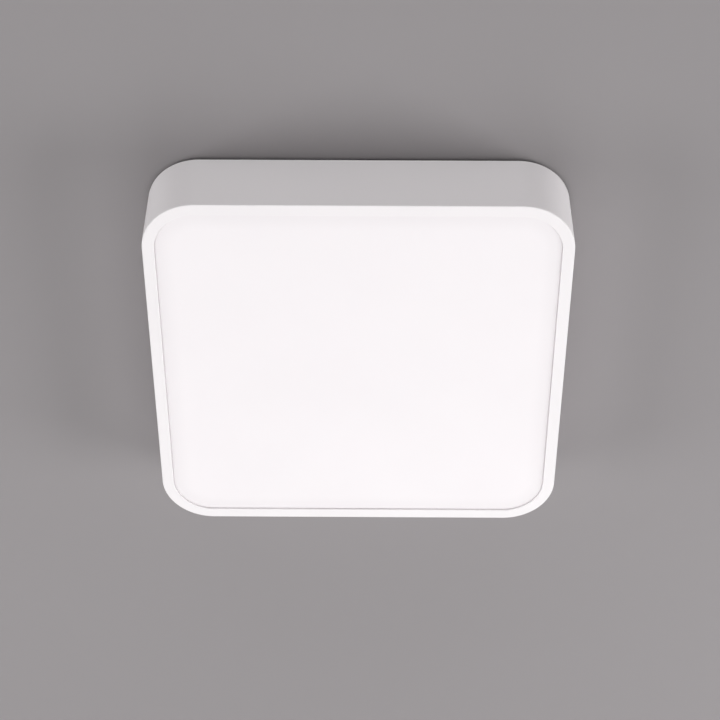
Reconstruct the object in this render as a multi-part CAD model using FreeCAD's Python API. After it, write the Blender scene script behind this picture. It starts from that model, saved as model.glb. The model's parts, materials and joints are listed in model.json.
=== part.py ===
import FreeCAD, Part
import math
import os

# Square flush mount ceiling light, in millimetres.
# It hangs below the ceiling plane z = 0, with +Z pointing up into the ceiling.
# The origin is the middle of the four ceiling screws.

# Cover: a moulded frame round an opal diffuser
side = 300.0
height = 56.0
ceiling_gap = 2.2
corner_radius = 38.0
frame_wall = 2.4
lip_width = 8.6
lip_thickness = 3.0
lip_edge_bevel = 0.6
diffuser_edge_gap = 1.0
diffuser_recess = 0.3
diffuser_wall = 2.0
diffuser_edge_round = 3.0
diffuser_rim_gap = 1.4
seal_thickness = 0.6
seal_width = 1.3
seal_inset = 0.1

# Snap lugs, stop ribs and catch ridges inside the frame
lug_offsets = (-70.0, 0.0, 70.0)
lug_length = 12.0
lug_overlap = 1.6
lug_nose = 0.8
lug_rise = 4.0
lug_gap = 0.1
rib_offsets = (-95.0, -45.0, 45.0, 95.0)
rib_thickness = 1.6
rib_foot_depth = 1.2
rib_foot_gap = 1.0
rib_nose_height = 3.0
rib_overlap = 0.8
stop_gap = 0.3
ridge_length = 30.0
ridge_depth = 1.6
ridge_flat = 2.4
ridge_drop = 10.8

# Base pan: pressed steel, screwed to the ceiling through four raised feet
pan_gap = 4.6
sheet = 1.0
pan_depth = 26.0
pan_edge_bevel = 1.4
foot_height = 4.0
foot_length = 36.0
foot_width = 30.0
foot_corner = 8.0
foot_slope = 3.0
screw_spacing_x = 190.0
screw_spacing_y = 140.0
slot_width = 5.2
slot_length = 14.0
bead_height = 1.5
bead_width = 8.0
bead_length = 76.0
bead_gap = 14.0

# Rubber grommet in the cable hole
grommet_bore_radius = 4.5
grommet_wall = 1.6
grommet_brim = 2.2
grommet_brim_height = 1.2
grommet_brim_sides = 12

# Spring clips pushed on the pan's edge
clip_thickness = 0.5
clip_width = 12.0
clip_bend = 0.5
clip_grip_gap = 0.05
clip_edge_gap = 0.35
clip_inner_leg = 11.0
clip_rise = 4.5
clip_nose_gap = 0.6
clip_catch_gap = 0.2
clip_tip_gap = 0.5

# LED bars
bar_count = 4
bar_width = 14.0
bar_thickness = 1.2
bar_end_gap = 14.0
chips_per_bar = 12
chip_length = 3.5
chip_width = 2.8
chip_height = 0.8
connector_length = 7.0
connector_width = 5.0
connector_height = 4.4
connector_inset = 1.0
plug_depth = 4.0

# Screws that hold the bars, the driver, the terminal block and the earth lug
small_shank_radius = 1.3
small_head_radius = 2.4
small_head_height = 1.4
large_shank_radius = 1.6
large_head_radius = 2.9
large_head_height = 1.8
earth_shank_radius = 2.0
earth_head_radius = 3.8
earth_head_height = 2.4
screw_clearance = 0.1
screw_reach = 2.2
head_sides = 8
shank_sides = 6

# Driver
driver_length = 110.0
driver_width = 40.0
driver_height = 23.0
driver_wall = 1.5
driver_corner = 3.0
driver_case_depth = 15.0
driver_lug_length = 9.0
driver_lug_width = 12.0
driver_lug_thickness = 1.8
driver_lead_offset = 12.0
lid_lip = 3.0
lid_lip_thickness = 1.0
lid_gap = 0.2
board_thickness = 1.6
board_gap = 0.6
board_stand = 4.5
ledge_length = 6.0
ledge_width = 3.0

# Components on the driver's board, each at a share of the board's half length and half width
transformer_spot = (-0.04, 0.0)
core_length = 20.0
core_width = 15.0
core_height = 12.0
core_leg = 3.0
coil_width = 21.0
coil_gap = 0.3
reservoir_spot = (0.5, -0.4)
reservoir_radius = 5.0
reservoir_height = 12.0
output_capacitor_spot = (-0.57, 0.33)
output_capacitor_radius = 4.0
output_capacitor_height = 11.0
film_capacitor_spot = (0.74, 0.38)
film_capacitor_size = (12.0, 6.0, 9.0)
rectifier_spot = (0.28, 0.48)
rectifier_size = (6.0, 5.0, 2.6)
controller_spot = (-0.37, -0.55)
controller_size = (5.0, 4.0, 1.6)
switch_spot = (-0.74, -0.17)
switch_size = (6.0, 10.0, 4.5)

# Terminal block for the supply, with a release button for each pole
terminal_place = 28.0
terminal_length = 26.0
terminal_side_wall = 2.2
terminal_height = 17.0
terminal_wall = 1.4
terminal_end_wall = 2.8
terminal_edge = 1.5
terminal_lug = 7.0
terminal_lug_length = 12.0
terminal_lug_thickness = 2.5
pole_pitch = 10.0
supply_hole = 3.4
button_length = 6.0
button_width = 5.0
button_stand = 2.0
button_depth = 5.0
button_travel = 1.5
button_side_gap = 0.3
button_slot_width = 1.0
button_slot_depth = 0.8
contact_sheet = 0.6
contact_gap = 0.4

# Leads, and the lanes that they follow on the pan
mains_lead_radius = 1.1
mains_lead_sides = 6
twin_lead_width = 1.5
twin_lead_height = 2.8
lead_clearance = 0.15
lead_bend = 8.0
lead_reach = 1.0
run_share = 0.49
bar_lane = 6.0
live_lane = 14.0
neutral_lane = 19.0
led_lane = 11.0
lane_step = 10.0
earth_gap = 9.0
earth_lug_thickness = 0.8
earth_lug_radius = 4.2
saddle_length = 6.0
saddle_wall = 0.8
saddle_foot = 2.5
saddle_foot_gap = 2.0

# How far a cut runs past the face that it opens, and how near two places are to be one
overcut = 1.0
tolerance = 0.01

# Sizes that follow from the ones above
half_side = side / 2
frame_face = half_side - frame_wall
frame_corner = corner_radius - frame_wall
buried = frame_wall / 4
lip_face = half_side - lip_width
lip_corner = corner_radius - lip_width
lip_back = -height + lip_thickness
diffuser_half = lip_face - diffuser_edge_gap
diffuser_corner = lip_corner - diffuser_edge_gap
diffuser_front = -height + diffuser_recess
rim_front = lip_back + seal_thickness
rim_back = rim_front + diffuser_wall
rim_half = frame_face - diffuser_rim_gap
rim_corner = frame_corner - diffuser_rim_gap

grommet_neck = grommet_bore_radius + grommet_wall
grommet_brim_radius = grommet_neck + grommet_brim
web_top = -foot_height
web_face = web_top - sheet
pan_half = frame_face - pan_gap
pan_corner = frame_corner - pan_gap
pan_inside = pan_half - sheet
pan_inside_corner = pan_corner - sheet

row_pitch = 2 * pan_half / bar_count
rows = [(index - (bar_count - 1) / 2) * row_pitch for index in range(bar_count)]
bar_end = pan_inside - bar_end_gap
bar_face = web_face - bar_thickness
connector_end = bar_end - connector_inset
chip_pitch = 2 * (connector_end - connector_length) / chips_per_bar
chip_places = [(index - (chips_per_bar - 1) / 2) * chip_pitch for index in range(chips_per_bar)]
bar_screw_place = chip_pitch * (chips_per_bar // 3)
lead_level = bar_face - connector_height / 2
plug_end = connector_end - plug_depth

driver_row = (rows[2] + rows[3]) / 2
driver_end = driver_length / 2
driver_lug_end = driver_end + driver_lug_length
driver_screw_place = driver_end + driver_lug_length / 2
driver_joint = web_face - driver_case_depth
board_back = web_face - driver_wall - board_stand
board_face = board_back - board_thickness
led_lane_y = rows[3] - bar_width / 2 - led_lane
led_saddle_x = -(screw_spacing_x / 2 + foot_length / 2 + saddle_length / 2 + saddle_foot_gap)
board_half_length = driver_end - driver_wall - board_gap
board_half_width = driver_width / 2 - driver_wall - board_gap

poles = (-pole_pitch, 0.0, pole_pitch)
terminal_width = len(poles) * pole_pitch - terminal_wall + 2 * terminal_side_wall
terminal_end = terminal_place + terminal_length
terminal_middle = terminal_place + terminal_length / 2
terminal_face = web_face - terminal_height
terminal_screw_place = (terminal_width + terminal_lug) / 2
well_top = terminal_face + button_depth + button_travel + stop_gap
earth_x = terminal_end + live_lane
earth_y = rows[1] - bar_width / 2 - earth_gap

UP = FreeCAD.Vector(0, 0, 1)


def point(x, y, z):
    return FreeCAD.Vector(x, y, z)


def outline(half_x, half_y, corner, level):
    """Closed outline of a rectangle with round corners, flat at one level."""
    arcs = []
    for quarter, (sign_x, sign_y) in enumerate(((1, 1), (-1, 1), (-1, -1), (1, -1))):
        centre = point(sign_x * (half_x - corner), sign_y * (half_y - corner), level)
        spots = []
        for eighth in range(3):
            angle = math.radians(90 * quarter + 45 * eighth)
            spots.append(centre + point(corner * math.cos(angle), corner * math.sin(angle), 0))
        arcs.append(spots)
    edges = []
    for spots, following in zip(arcs, arcs[1:] + arcs[:1]):
        edges.append(Part.Arc(*spots).toShape())
        if spots[2].distanceToPoint(following[0]) > tolerance:
            edges.append(Part.LineSegment(spots[2], following[0]).toShape())
    return Part.Wire(edges)


def prism(half_x, half_y, corner, low, high, x=0, y=0):
    """Upright prism over a rectangle with round corners."""
    solid = Part.Face(outline(half_x, half_y, corner, low)).extrude(UP * (high - low))
    solid.translate(point(x, y, 0))
    return solid


def square(half, corner, low, high):
    """Upright prism over a square with round corners, round the middle of the light."""
    return prism(half, half, corner, low, high)


def slot(length, width, low, high, x, y):
    """Upright prism with half round ends, long in X."""
    return prism(length / 2, width / 2, width / 2, low, high, x, y)


def block(x_range, y_range, z_range):
    """Box between two values on each axis, given in either order."""
    low = point(min(x_range), min(y_range), min(z_range))
    high = point(max(x_range), max(y_range), max(z_range))
    size = high - low
    return Part.makeBox(size.x, size.y, size.z, low)


def centred_block(x, y, length, width, z_range):
    return block((x - length / 2, x + length / 2), (y - width / 2, y + width / 2), z_range)


def pad(x, y, inset, low, high):
    """Raised foot with cut corners and sloped sides, drawn in by an inset."""
    rings = []
    for slope, level in ((0, low), (foot_slope, high)):
        half_x = foot_length / 2 - inset - slope
        half_y = foot_width / 2 - inset - slope
        cut = foot_corner - (inset + slope) / 2
        spots = []
        for sign_x, sign_y in ((1, 1), (-1, 1), (-1, -1), (1, -1)):
            pair = [
                point(x + sign_x * half_x, y + sign_y * (half_y - cut), level),
                point(x + sign_x * (half_x - cut), y + sign_y * half_y, level),
            ]
            spots += pair if sign_x == sign_y else pair[::-1]
        rings.append(spots)
    faces = [Part.Face(Part.makePolygon(spots + spots[:1])) for spots in rings]
    bottom, top = [spots + spots[:1] for spots in rings]
    for corner in range(len(bottom) - 1):
        side_face = [bottom[corner], bottom[corner + 1], top[corner + 1], top[corner], bottom[corner]]
        faces.append(Part.Face(Part.makePolygon(side_face)))
    return Part.Solid(Part.Shell(faces))


def rod(radius, low, high, x, y):
    return Part.makeCylinder(radius, high - low, point(x, y, low))


def many_sided_rod(radius, sides, low, high, x, y):
    """Upright prism over a regular polygon, for small round pieces that repeat."""
    spots = []
    for index in range(sides + 1):
        angle = 2 * math.pi * (index + 0.5) / sides
        spots.append(point(x + radius * math.cos(angle), y + radius * math.sin(angle), low))
    return Part.Face(Part.makePolygon(spots)).extrude(UP * (high - low))


def plate(corners, start, thickness):
    """Profile of (x, z) corners that stands at one y and is made thick along Y."""
    spots = [point(x, start, z) for x, z in corners]
    return Part.Face(Part.makePolygon(spots + spots[:1])).extrude(point(0, thickness, 0))


def around(solids):
    """The same solids on all four sides of the light."""
    copies = []
    for turn in range(4):
        for solid in solids:
            copy = solid.copy()
            copy.rotate(point(0, 0, 0), UP, 90 * turn)
            copies.append(copy)
    return copies


def edge_loop(solid, level, half, corner):
    """Edges that follow one rounded square outline at one level."""
    loop = []
    for edge in solid.Edges:
        spot = edge.valueAt((edge.FirstParameter + edge.LastParameter) / 2)
        past_x = max(abs(spot.x) - (half - corner), 0)
        past_y = max(abs(spot.y) - (half - corner), 0)
        on_outline = abs(math.hypot(past_x, past_y) - corner) < tolerance
        if on_outline and abs(spot.z - level) < tolerance and edge.BoundBox.ZLength < tolerance:
            loop.append(edge)
    return loop


def route(spots, bend):
    """Straight runs joined by tangent arcs, each as large as the bend or its runs allow."""
    edges = []
    start = spots[0]
    for before, corner, after in zip(spots, spots[1:], spots[2:]):
        run_in = corner - before
        run_out = after - corner
        shorter = min(run_in.Length, run_out.Length)
        into = run_in.normalize()
        onward = run_out.normalize()
        half_turn = into.getAngle(onward) / 2
        radius = min(bend, run_share * shorter / math.tan(half_turn))
        reach = radius * math.tan(half_turn)
        inward = (onward - into).normalize()
        middle = corner + inward * (radius / math.cos(half_turn) - radius)
        leave = corner + onward * reach
        edges.append(Part.LineSegment(start, corner - into * reach).toShape())
        edges.append(Part.Arc(corner - into * reach, middle, leave).toShape())
        start = leave
    edges.append(Part.LineSegment(start, spots[-1]).toShape())
    return Part.Wire(edges)


def round_section(radius, sides):
    """Section of a lead as (across, up) corners, faceted."""
    angles = [2 * math.pi * (index + 0.5) / sides for index in range(sides)]
    return [(radius * math.cos(angle), radius * math.sin(angle)) for angle in angles]


def flat_section(width, stand):
    """Section of a flat twin lead as (across, up) corners."""
    across = width / 2
    up = stand / 2
    return [(-across, -up), (across, -up), (across, up), (-across, up)]


def lead(spots, section):
    """Insulated lead with one section all along its route."""
    path = route(spots, lead_bend)
    along = (spots[1] - spots[0]).normalize()
    sideways = along.cross(UP).normalize()
    upward = sideways.cross(along).normalize()
    rim = [spots[0] + sideways * across + upward * rise for across, rise in section]
    ring = Part.makePolygon(rim + rim[:1])
    solid = path.makePipeShell([ring], True, False)
    expected = Part.Face(ring).Area * path.Length
    print("lead", round(path.Length, 1), "mm long, volume over expected", round(solid.Volume / expected, 4))
    return solid


def bent_sheet(spots, bend, thickness, start, width):
    """Strip of sheet folded along (x, z) spots and made wide in Y, on the outside of the line."""
    line = route([point(x, start, z) for x, z in spots], bend)
    return line.makeOffset2D(-thickness, 0, True, True).extrude(point(0, width, 0))


def screw(x, y, seat, head_radius, head_height, shank_radius, shank_length):
    """Screw driven up through what it holds; its head's underside is at the seat."""
    head = many_sided_rod(head_radius, head_sides, seat - head_height, seat, x, y)
    shank = many_sided_rod(shank_radius, shank_sides, seat, seat + shank_length, x, y)
    return head.fuse(shank).removeSplitter()


def screw_hole(x, y, shank_radius, low, high):
    return many_sided_rod(shank_radius + screw_clearance, shank_sides, low, high, x, y)


# Cover


def stop_rib(offset):
    """Gusset whose nose stops just under the pan's edge."""
    nose = pan_inside - rib_overlap
    nose_top = -pan_depth - stop_gap
    foot = rim_back + rib_foot_gap
    corners = [
        (frame_face + buried, foot),
        (frame_face - rib_foot_depth, foot),
        (nose, nose_top - rib_nose_height),
        (nose, nose_top),
        (frame_face + buried, nose_top),
    ]
    return plate(corners, offset - rib_thickness / 2, rib_thickness)


def catch_ridge():
    """Ridge with sloped flanks that the spring clip snaps under."""
    crest = frame_face - ridge_depth
    run = ridge_depth + buried
    corners = [
        (frame_face + buried, -ridge_drop + run),
        (crest, -ridge_drop),
        (crest, -ridge_drop - ridge_flat),
        (frame_face + buried, -ridge_drop - ridge_flat - run),
    ]
    return plate(corners, -ridge_length / 2, ridge_length)


def snap_lug(offset):
    """Lug that snaps over the back of the diffuser's rim."""
    seat = rim_back + lug_gap
    nose = rim_half - lug_overlap
    corners = [
        (frame_face + buried, seat),
        (nose, seat),
        (nose, seat + lug_nose),
        (frame_face + buried, seat + lug_rise),
    ]
    return plate(corners, offset - lug_length / 2, lug_length)


def cover_frame():
    """Moulded ring with a lip in front and the snap features inside."""
    shell = square(half_side, corner_radius, -height, -ceiling_gap)
    shell = shell.makeChamfer(lip_edge_bevel, edge_loop(shell, -height, half_side, corner_radius))
    hollow = square(frame_face, frame_corner, lip_back, 0)
    aperture = square(lip_face, lip_corner, -height - overcut, lip_back + overcut)
    shell = shell.cut([hollow, aperture])
    features = [stop_rib(offset) for offset in rib_offsets]
    features += [snap_lug(offset) for offset in lug_offsets]
    features.append(catch_ridge())
    return shell.fuse(around(features)).removeSplitter()


def diffuser():
    """Opal tray with a softly rounded face and a flat rim behind the lip."""
    tray = square(diffuser_half, diffuser_corner, diffuser_front, rim_back)
    front_loop = edge_loop(tray, diffuser_front, diffuser_half, diffuser_corner)
    tray = tray.makeFillet(diffuser_edge_round, front_loop)
    rim = square(rim_half, rim_corner, rim_front, rim_back)
    hollow = square(diffuser_half - diffuser_wall, diffuser_corner - diffuser_wall,
                    diffuser_front + diffuser_wall, rim_back + overcut)
    return tray.fuse(rim).cut(hollow).removeSplitter()


def diffuser_seal():
    """Foam ring between the lip and the diffuser's rim."""
    inner = lip_face + seal_inset
    inner_corner = lip_corner + seal_inset
    ring = square(inner + seal_width, inner_corner + seal_width, lip_back, rim_front)
    return ring.cut(square(inner, inner_corner, lip_back - overcut, rim_front + overcut))


# Base pan and what clips or pushes into it


def foot_places():
    """Middle of each raised foot, over the ceiling screws."""
    return [(sign_x * screw_spacing_x / 2, sign_y * screw_spacing_y / 2)
            for sign_x in (-1, 1) for sign_y in (-1, 1)]


def bead_places():
    """Middle of each stiffening bead: one beside the cable entry and two between the feet."""
    beside_cable = grommet_brim_radius + bead_gap + bead_length / 2
    return [(-beside_cable, 0), (0, -driver_row), (0, driver_row)]


def base_screws():
    """Each screw that goes up into the pan, as x, y and shank radius."""
    screws = []
    for row in rows:
        screws.append((-bar_screw_place, row, small_shank_radius))
        screws.append((bar_screw_place, row, small_shank_radius))
    for sign in (-1, 1):
        screws.append((sign * driver_screw_place, driver_row, large_shank_radius))
        screws.append((terminal_middle, sign * terminal_screw_place, large_shank_radius))
    screws.append((earth_x, earth_y, earth_shank_radius))
    return screws


def base_pan():
    """Shallow pressed pan, open to the room, with raised feet and beads."""
    pan = square(pan_half, pan_corner, -pan_depth, web_top)
    pan = pan.makeChamfer(pan_edge_bevel, edge_loop(pan, web_top, pan_half, pan_corner))
    raised = []
    openings = [square(pan_inside, pan_inside_corner, -pan_depth - overcut, web_face)]
    for x, y in foot_places():
        raised.append(pad(x, y, 0, web_top, 0))
        openings.append(pad(x, y, sheet, web_face, -sheet))
        openings.append(slot(slot_length, slot_width, web_top, overcut, x, y))
    for x, y in bead_places():
        raised.append(centred_block(x, y, bead_length, bead_width, (web_top, web_top + bead_height)))
        openings.append(centred_block(x, y, bead_length - 2 * sheet, bead_width - 2 * sheet,
                                      (web_face, web_face + bead_height)))
    for x, y, shank_radius in base_screws():
        openings.append(screw_hole(x, y, shank_radius, web_face - overcut, web_top + overcut))
    openings.append(rod(grommet_neck, web_face - overcut, web_top + overcut, 0, 0))
    return pan.fuse(raised).cut(openings).removeSplitter()


def cable_grommet():
    """Rubber ring with a groove that grips the edge of the cable hole."""
    top = web_top + grommet_brim_height
    bottom = web_face - grommet_brim_height
    upper = many_sided_rod(grommet_brim_radius, grommet_brim_sides, web_top, top, 0, 0)
    lower = many_sided_rod(grommet_brim_radius, grommet_brim_sides, bottom, web_face, 0, 0)
    middle = rod(grommet_neck, web_face, web_top, 0, 0)
    bore = rod(grommet_bore_radius, bottom - overcut, top + overcut, 0, 0)
    return upper.fuse([lower, middle]).cut(bore).removeSplitter()


def spring_clip(turn):
    """Leaf folded over the pan's edge, with a nose that rests under the catch ridge."""
    inner_x = pan_inside - clip_grip_gap
    outer_x = pan_half + clip_grip_gap
    edge_z = -pan_depth - clip_edge_gap
    ridge_line = frame_face - ridge_depth - ridge_drop - ridge_flat
    slope_line = ridge_line - (clip_catch_gap + clip_thickness) * math.sqrt(2)
    nose_x = frame_face - clip_nose_gap
    tip_x = outer_x + clip_tip_gap
    line = [
        (inner_x, edge_z + clip_inner_leg),
        (inner_x, edge_z),
        (outer_x, edge_z),
        (outer_x, edge_z + clip_rise),
        (nose_x, slope_line - nose_x),
        (tip_x, slope_line - tip_x),
    ]
    clip = bent_sheet(line, clip_bend, clip_thickness, -clip_width / 2, clip_width)
    clip.rotate(point(0, 0, 0), UP, 90 * turn)
    return clip


# Light sources


def led_bar(row):
    """Aluminium circuit board screwed flat against the pan."""
    bar = centred_block(0, row, 2 * bar_end, bar_width, (bar_face, web_face))
    holes = [screw_hole(x, row, small_shank_radius, bar_face - overcut, web_face + overcut)
             for x in (-bar_screw_place, bar_screw_place)]
    return bar.cut(holes)


def led_chips(row):
    chips = [centred_block(x, row, chip_length, chip_width, (bar_face - chip_height, bar_face))
             for x in chip_places]
    return Part.makeCompound(chips)


def bar_connectors():
    """Push-in connector for the twin lead at both ends of each bar."""
    connectors = []
    for row in rows:
        for sign in (-1, 1):
            body = centred_block(sign * (connector_end - connector_length / 2), row, connector_length,
                                 connector_width, (bar_face - connector_height, bar_face))
            mouth = centred_block(sign * connector_end, row, 2 * plug_depth,
                                  twin_lead_width + 2 * lead_clearance,
                                  (lead_level - twin_lead_height / 2 - lead_clearance,
                                   lead_level + twin_lead_height / 2 + lead_clearance))
            connectors.append(body.cut(mouth))
    return Part.makeCompound(connectors)


def bar_screws():
    screws = []
    for row in rows:
        for x in (-bar_screw_place, bar_screw_place):
            screws.append(screw(x, row, bar_face, small_head_radius, small_head_height,
                                small_shank_radius, bar_thickness + screw_reach))
    return Part.makeCompound(screws)


# Driver


def driver_lead_openings():
    """Openings in the end walls for two supply leads and one twin lead."""
    mains = 2 * (mains_lead_radius + lead_clearance)
    twin = twin_lead_width + 2 * lead_clearance
    stand = twin_lead_height + 2 * lead_clearance
    openings = []
    for sign, offset, width, tall in (
        (1, -driver_lead_offset, mains, mains),
        (1, driver_lead_offset, mains, mains),
        (-1, driver_lead_offset, twin, stand),
    ):
        openings.append(centred_block(sign * driver_end, driver_row + offset,
                                      2 * (driver_wall + overcut), width,
                                      (lead_level - tall / 2, lead_level + tall / 2)))
    return openings


def driver_case():
    """Tray against the pan, with a screw lug at each end and ledges for the board."""
    half_width = driver_width / 2
    tray = prism(driver_end, half_width, driver_corner, driver_joint, web_face, 0, driver_row)
    lugs = centred_block(0, driver_row, 2 * driver_lug_end, driver_lug_width,
                         (web_face - driver_lug_thickness, web_face))
    hollow = centred_block(0, driver_row, driver_length - 2 * driver_wall, driver_width - 2 * driver_wall,
                           (driver_joint - overcut, web_face - driver_wall))
    ledges = []
    for sign_x in (-1, 1):
        for sign_y in (-1, 1):
            x = sign_x * (driver_end - driver_wall - ledge_length / 2)
            y = driver_row + sign_y * (half_width - driver_wall - ledge_width / 2)
            ledges.append(centred_block(x, y, ledge_length, ledge_width,
                                        (board_back, web_face - driver_wall)))
    holes = [screw_hole(sign * driver_screw_place, driver_row, large_shank_radius,
                        driver_joint, web_face + overcut) for sign in (-1, 1)]
    return tray.fuse(lugs).cut(hollow).fuse(ledges).cut(holes + driver_lead_openings()).removeSplitter()


def driver_lid():
    """Cap with a thin lip that locates inside the tray."""
    low = web_face - driver_height
    top = driver_joint + lid_lip
    cap = prism(driver_end, driver_width / 2, driver_corner, low, driver_joint, 0, driver_row)
    lip_inset = 2 * (driver_wall + lid_gap)
    hollow_inset = lip_inset + 2 * lid_lip_thickness
    lip = centred_block(0, driver_row, driver_length - lip_inset, driver_width - lip_inset,
                        (driver_joint - driver_wall, top))
    hollow = centred_block(0, driver_row, driver_length - hollow_inset, driver_width - hollow_inset,
                           (low + driver_wall, top + overcut))
    return cap.fuse(lip).cut(hollow)


def driver_board():
    return centred_block(0, driver_row, 2 * board_half_length, 2 * board_half_width,
                         (board_face, board_back))


def on_board(spot):
    """Place on the driver's board, from shares of its half length and half width."""
    along, across = spot
    return along * board_half_length, driver_row + across * board_half_width


def boxed_component(spot, size):
    x, y = on_board(spot)
    length, width, stand = size
    return centred_block(x, y, length, width, (board_face - stand, board_face))


def round_component(spot, radius, stand):
    x, y = on_board(spot)
    return many_sided_rod(radius, head_sides, board_face - stand, board_face, x, y)


def driver_transformer():
    """Ferrite core with the wound bobbin between its legs."""
    x, y = on_board(transformer_spot)
    window_low = board_face - core_height + core_leg
    window_high = board_face - core_leg
    window_length = core_length - 2 * core_leg
    core = boxed_component(transformer_spot, (core_length, core_width, core_height))
    window = centred_block(x, y, window_length, core_width + 2 * overcut, (window_low, window_high))
    coil = centred_block(x, y, window_length - 2 * coil_gap, coil_width,
                         (window_low + coil_gap, window_high - coil_gap))
    return Part.makeCompound([core.cut(window), coil])


def driver_capacitors():
    """Two round capacitors and a boxed film capacitor, standing on the board."""
    return Part.makeCompound([
        round_component(reservoir_spot, reservoir_radius, reservoir_height),
        round_component(output_capacitor_spot, output_capacitor_radius, output_capacitor_height),
        boxed_component(film_capacitor_spot, film_capacitor_size),
    ])


def driver_chips():
    """Rectifier, controller and switch, flat on the board."""
    return Part.makeCompound([
        boxed_component(rectifier_spot, rectifier_size),
        boxed_component(controller_spot, controller_size),
        boxed_component(switch_spot, switch_size),
    ])


def driver_screws():
    return Part.makeCompound([
        screw(sign * driver_screw_place, driver_row, web_face - driver_lug_thickness,
              large_head_radius, large_head_height, large_shank_radius,
              driver_lug_thickness + screw_reach)
        for sign in (-1, 1)
    ])


# Terminal block


def terminal_housing():
    """Moulded block with a wire entry on each side of every pole and a well for its button."""
    corners = [
        (terminal_place, web_face),
        (terminal_place, terminal_face + terminal_edge),
        (terminal_place + terminal_edge, terminal_face),
        (terminal_end - terminal_edge, terminal_face),
        (terminal_end, terminal_face + terminal_edge),
        (terminal_end, web_face),
    ]
    body = plate(corners, -terminal_width / 2, terminal_width)
    lugs = centred_block(terminal_middle, 0, terminal_lug_length, terminal_width + 2 * terminal_lug,
                         (web_face - terminal_lug_thickness, web_face))
    body = body.fuse(lugs)
    cavity_length = terminal_length - 2 * terminal_end_wall
    lead_hole = 2 * (mains_lead_radius + lead_clearance)
    cuts = []
    for pole in poles:
        cuts.append(centred_block(terminal_middle, pole, cavity_length, pole_pitch - terminal_wall,
                                  (well_top, web_face - terminal_wall)))
        cuts.append(centred_block(terminal_middle, pole, button_length + 2 * button_side_gap,
                                  button_width + 2 * button_side_gap,
                                  (terminal_face - overcut, well_top + overcut)))
        for x, opening in ((terminal_place, supply_hole), (terminal_end, lead_hole)):
            cuts.append(centred_block(x, pole, 2 * (terminal_end_wall + overcut), opening,
                                      (lead_level - opening / 2, lead_level + opening / 2)))
    for sign in (-1, 1):
        cuts.append(screw_hole(terminal_middle, sign * terminal_screw_place, large_shank_radius,
                               terminal_face, web_face + overcut))
    return body.cut(cuts)


def terminal_contacts():
    """Brass strips, folded back as springs, that join the two sides of each pole."""
    half = terminal_length / 2 - terminal_end_wall - contact_gap
    left = terminal_middle - half
    right = terminal_middle + half
    roof = web_face - terminal_wall
    floor = well_top
    width = pole_pitch - terminal_wall - 2 * contact_gap
    spring_end = terminal_middle - button_length / 2
    corners = [
        (left, lead_level - supply_hole / 2),
        (left, roof),
        (right, roof),
        (right, floor),
        (spring_end, floor),
        (spring_end, floor + contact_sheet),
        (right - contact_sheet, floor + contact_sheet),
        (right - contact_sheet, lead_level - mains_lead_radius - contact_gap),
        (right - contact_sheet, roof - contact_sheet),
        (left + contact_sheet, roof - contact_sheet),
        (left + contact_sheet, lead_level - supply_hole / 2),
    ]
    return Part.makeCompound([plate(corners, pole - width / 2, width) for pole in poles])


def release_button(pole):
    """Button that opens one pole's spring, with a slot for a screwdriver tip."""
    low = terminal_face - button_stand
    body = centred_block(terminal_middle, pole, button_length, button_width,
                         (low, terminal_face + button_depth))
    return body.cut(centred_block(terminal_middle, pole, button_slot_width, 2 * button_width,
                                  (low - overcut, low + button_slot_depth)))


def terminal_screws():
    return Part.makeCompound([
        screw(terminal_middle, sign * terminal_screw_place, web_face - terminal_lug_thickness,
              large_head_radius, large_head_height, large_shank_radius,
              terminal_lug_thickness + screw_reach)
        for sign in (-1, 1)
    ])


# Leads


def supply_lead(pole, lane, offset):
    """From the terminal block round to the driver's supply end."""
    reach = terminal_end + lane
    return lead([
        point(terminal_end - terminal_end_wall, pole, lead_level),
        point(reach, pole, lead_level),
        point(reach, driver_row + offset, lead_level),
        point(driver_end - driver_wall - lead_reach, driver_row + offset, lead_level),
    ], round_section(mains_lead_radius, mains_lead_sides))


def earth_lead():
    """From the terminal block across the bar to the barrel of the earth lug."""
    barrel = web_face - earth_lug_thickness - mains_lead_radius
    past_bar = rows[1] - bar_width / 2
    barrel_start = earth_y + earth_lug_radius
    return lead([
        point(terminal_end - terminal_end_wall, poles[0], lead_level),
        point(earth_x, poles[0], lead_level),
        point(earth_x, past_bar, lead_level),
        point(earth_x, barrel_start, barrel),
    ], round_section(mains_lead_radius, mains_lead_sides))


def earth_lug():
    """Ring tongue under the earth screw, with a flat tail for the lead."""
    ring = many_sided_rod(earth_lug_radius, head_sides, web_face - earth_lug_thickness, web_face,
                          earth_x, earth_y)
    tail = block((earth_x - mains_lead_radius, earth_x + mains_lead_radius),
                 (earth_y, rows[1] - bar_width / 2 - stop_gap),
                 (web_face - earth_lug_thickness, web_face))
    hole = screw_hole(earth_x, earth_y, earth_shank_radius, web_face - earth_lug_thickness - overcut,
                      web_face + overcut)
    return ring.fuse(tail).cut(hole).removeSplitter()


def earth_screw():
    return screw(earth_x, earth_y, web_face - earth_lug_thickness, earth_head_radius,
                 earth_head_height, earth_shank_radius, earth_lug_thickness + screw_reach)


def led_lead():
    """Twin lead from the driver, along the last bar and round its end."""
    exit_y = driver_row + driver_lead_offset
    lane_x = -bar_end - bar_lane
    return lead([
        point(-driver_end + driver_wall + lead_reach, exit_y, lead_level),
        point(-driver_lug_end, exit_y, lead_level),
        point(-driver_lug_end - lane_step, led_lane_y, lead_level),
        point(lane_x, led_lane_y, lead_level),
        point(lane_x, rows[3], lead_level),
        point(-plug_end, rows[3], lead_level),
    ], flat_section(twin_lead_width, twin_lead_height))


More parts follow.
